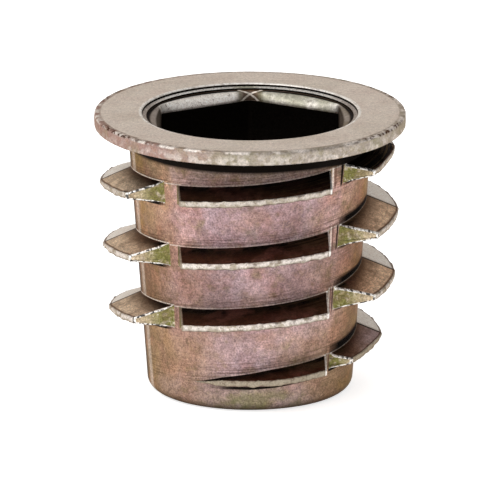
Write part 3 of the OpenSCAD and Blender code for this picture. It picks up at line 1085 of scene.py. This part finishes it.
class INSERT_OT_casting(bpy.types.Operator):
    """Builds the die-cast body with its flange, hexagon and threads"""

    bl_idname = "insert.casting"
    bl_label = "Casting"

    def execute(self, context):
        sizes = plain(context.scene.insert_sizes)
        bm = casting_mesh(sizes)
        if not all(edge.is_contiguous for edge in bm.edges):
            raise RuntimeError("The casting isn't closed, or some of its faces point inwards")
        mesh = bpy.data.meshes.new(PIECE)
        bm.to_mesh(mesh)
        bm.free()
        for polygon in mesh.polygons:
            polygon.use_smooth = True
        mesh.materials.append(yellow_chromated_zinc(plain(context.scene.insert_colours)))
        piece = placed(context.scene, PIECE, mesh)
        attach(piece, "root")
        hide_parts(NODE)
        return {"FINISHED"}


# ---------------------------------------------------------------- studio

FRAME_PX = 500              # width of the picture
PX_PER_MM = 17.75           # its scale at the casting's axis
TOP_PX = 111.5              # its row at which the centre of the flange's top lies
ELEVATION = math.radians(15.26)
DISTANCE = 1.0              # from the camera to the centre of the flange's top, in metres
SENSOR = 36                 # width of the camera's sensor, in millimetres
NEAREST = 0.01              # distance at which the camera starts to see, in metres
FLOOR_REACH = 2             # from the floor's middle to its edge, in metres
FLOOR_GLOW = 0.7            # light that the floor adds where the camera or a reflection sees it
LAMP_PLACE = Vector((-0.12, -0.1, 0.25))
LAMP_SIZE = 0.15            # width of the lamp's face, in metres
LAMP_POWER = 0.2            # in watts


def white_floor():
    """Matt white paper: plain white, with the object's soft shadow on it."""
    material = bpy.data.materials.new("matt_white_paper")
    kit = Nodes(material)
    paper = kit.add("BsdfDiffuse", {"Color": linear("#f4f4f4")})
    glow = kit.add("Emission", {"Color": linear("#ffffff"), "Strength": FLOOR_GLOW})
    ray = kit.add("LightPath").outputs
    seen = kit.combined("MAXIMUM", ray["Is Camera Ray"], ray["Is Glossy Ray"], ray["Is Transmission Ray"])
    lit = kit.add("AddShader", (paper, glow))
    kit.add("OutputMaterial", (kit.add("MixShader", (seen, paper, lit)),))
    return material


def studio_world():
    """White round the horizon, a little darker at the ceiling and darker to the right."""
    world = bpy.data.worlds.new("studio")
    kit = Nodes(world)
    way = kit.add("TexCoord").outputs["Generated"]
    axes = kit.add("SeparateXYZ", (way,)).outputs
    sky = kit.layered(linear("#ffffff"), (linear("#e8e8e8"), (axes["Z"], 0.35, 0.75)))
    strength = kit.amount((axes["X"], -0.3, 0.9, 1, 0.4))
    kit.add("OutputWorld", (kit.add("Background", {"Color": sky, "Strength": strength}),))
    return world


def add_floor(scene):
    mesh = bpy.data.meshes.new("floor")
    bm = bmesh.new()
    bmesh.ops.create_grid(bm, x_segments=1, y_segments=1, size=FLOOR_REACH)
    bm.to_mesh(mesh)
    bm.free()
    mesh.materials.append(white_floor())
    placed(scene, "floor", mesh)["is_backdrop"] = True


def add_camera(scene, top_z):
    """Camera that looks down on the casting, with the centre of the flange's top at its row."""
    camera = placed(scene, "camera", bpy.data.cameras.new("camera"))
    scene.camera = camera
    focal_px = PX_PER_MM / MM * DISTANCE
    aim = ELEVATION + math.atan2(FRAME_PX / 2 - TOP_PX, focal_px)
    camera.location = (0, -DISTANCE * math.cos(ELEVATION), top_z + DISTANCE * math.sin(ELEVATION))
    camera.rotation_euler = (math.radians(90) - aim, 0, 0)
    camera.data.sensor_width = SENSOR
    camera.data.lens = focal_px / FRAME_PX * SENSOR
    camera.data.clip_start = NEAREST


def add_lamp(scene, aim):
    lamp = placed(scene, "key", bpy.data.lights.new("key", "AREA"))
    lamp.data.energy = LAMP_POWER
    lamp.data.size = LAMP_SIZE
    lamp.location = LAMP_PLACE
    lamp.rotation_euler = (aim - LAMP_PLACE).to_track_quat("-Z", "Y").to_euler()


class INSERT_OT_stage(bpy.types.Operator):
    """Sets up the floor, the lights and the camera"""

    bl_idname = "insert.stage"
    bl_label = "Stage"

    def execute(self, context):
        scene = context.scene
        top_z = scene.insert_sizes.overall_h
        scene.view_settings.view_transform = "Standard"
        add_floor(scene)
        add_camera(scene, top_z)
        scene.world = studio_world()
        add_lamp(scene, Vector((0, 0, top_z / 2)))
        return {"FINISHED"}


class INSERT_PT_panel(bpy.types.Panel):
    """Lists the operators with the sizes and colours that they use"""

    bl_idname = "INSERT_PT_panel"
    bl_label = "Threaded insert"
    bl_space_type = "VIEW_3D"
    bl_region_type = "UI"
    bl_category = "Insert"

    def draw(self, context):
        self.layout.operator(INSERT_OT_casting.bl_idname)
        self.layout.operator(INSERT_OT_stage.bl_idname)
        for group in (context.scene.insert_sizes, context.scene.insert_colours):
            box = self.layout.box()
            for name in group.__annotations__:
                box.prop(group, name)


classes = (InsertSizes, InsertColours, INSERT_OT_casting, INSERT_OT_stage, INSERT_PT_panel)


def register():
    for cls in classes:
        bpy.utils.register_class(cls)
    bpy.types.Scene.insert_sizes = PointerProperty(type=InsertSizes)
    bpy.types.Scene.insert_colours = PointerProperty(type=InsertColours)


def unregister():
    del bpy.types.Scene.insert_sizes
    del bpy.types.Scene.insert_colours
    for cls in reversed(classes):
        bpy.utils.unregister_class(cls)


def main():
    register()
    bpy.ops.insert.casting()
    bpy.ops.insert.stage()
    boxes = {"cad": cad_box, "visual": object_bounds()}
    boxes = {name: [[float(value) for value in corner] for corner in box]
             for name, box in boxes.items()}


if __name__ == "__main__":
    main()
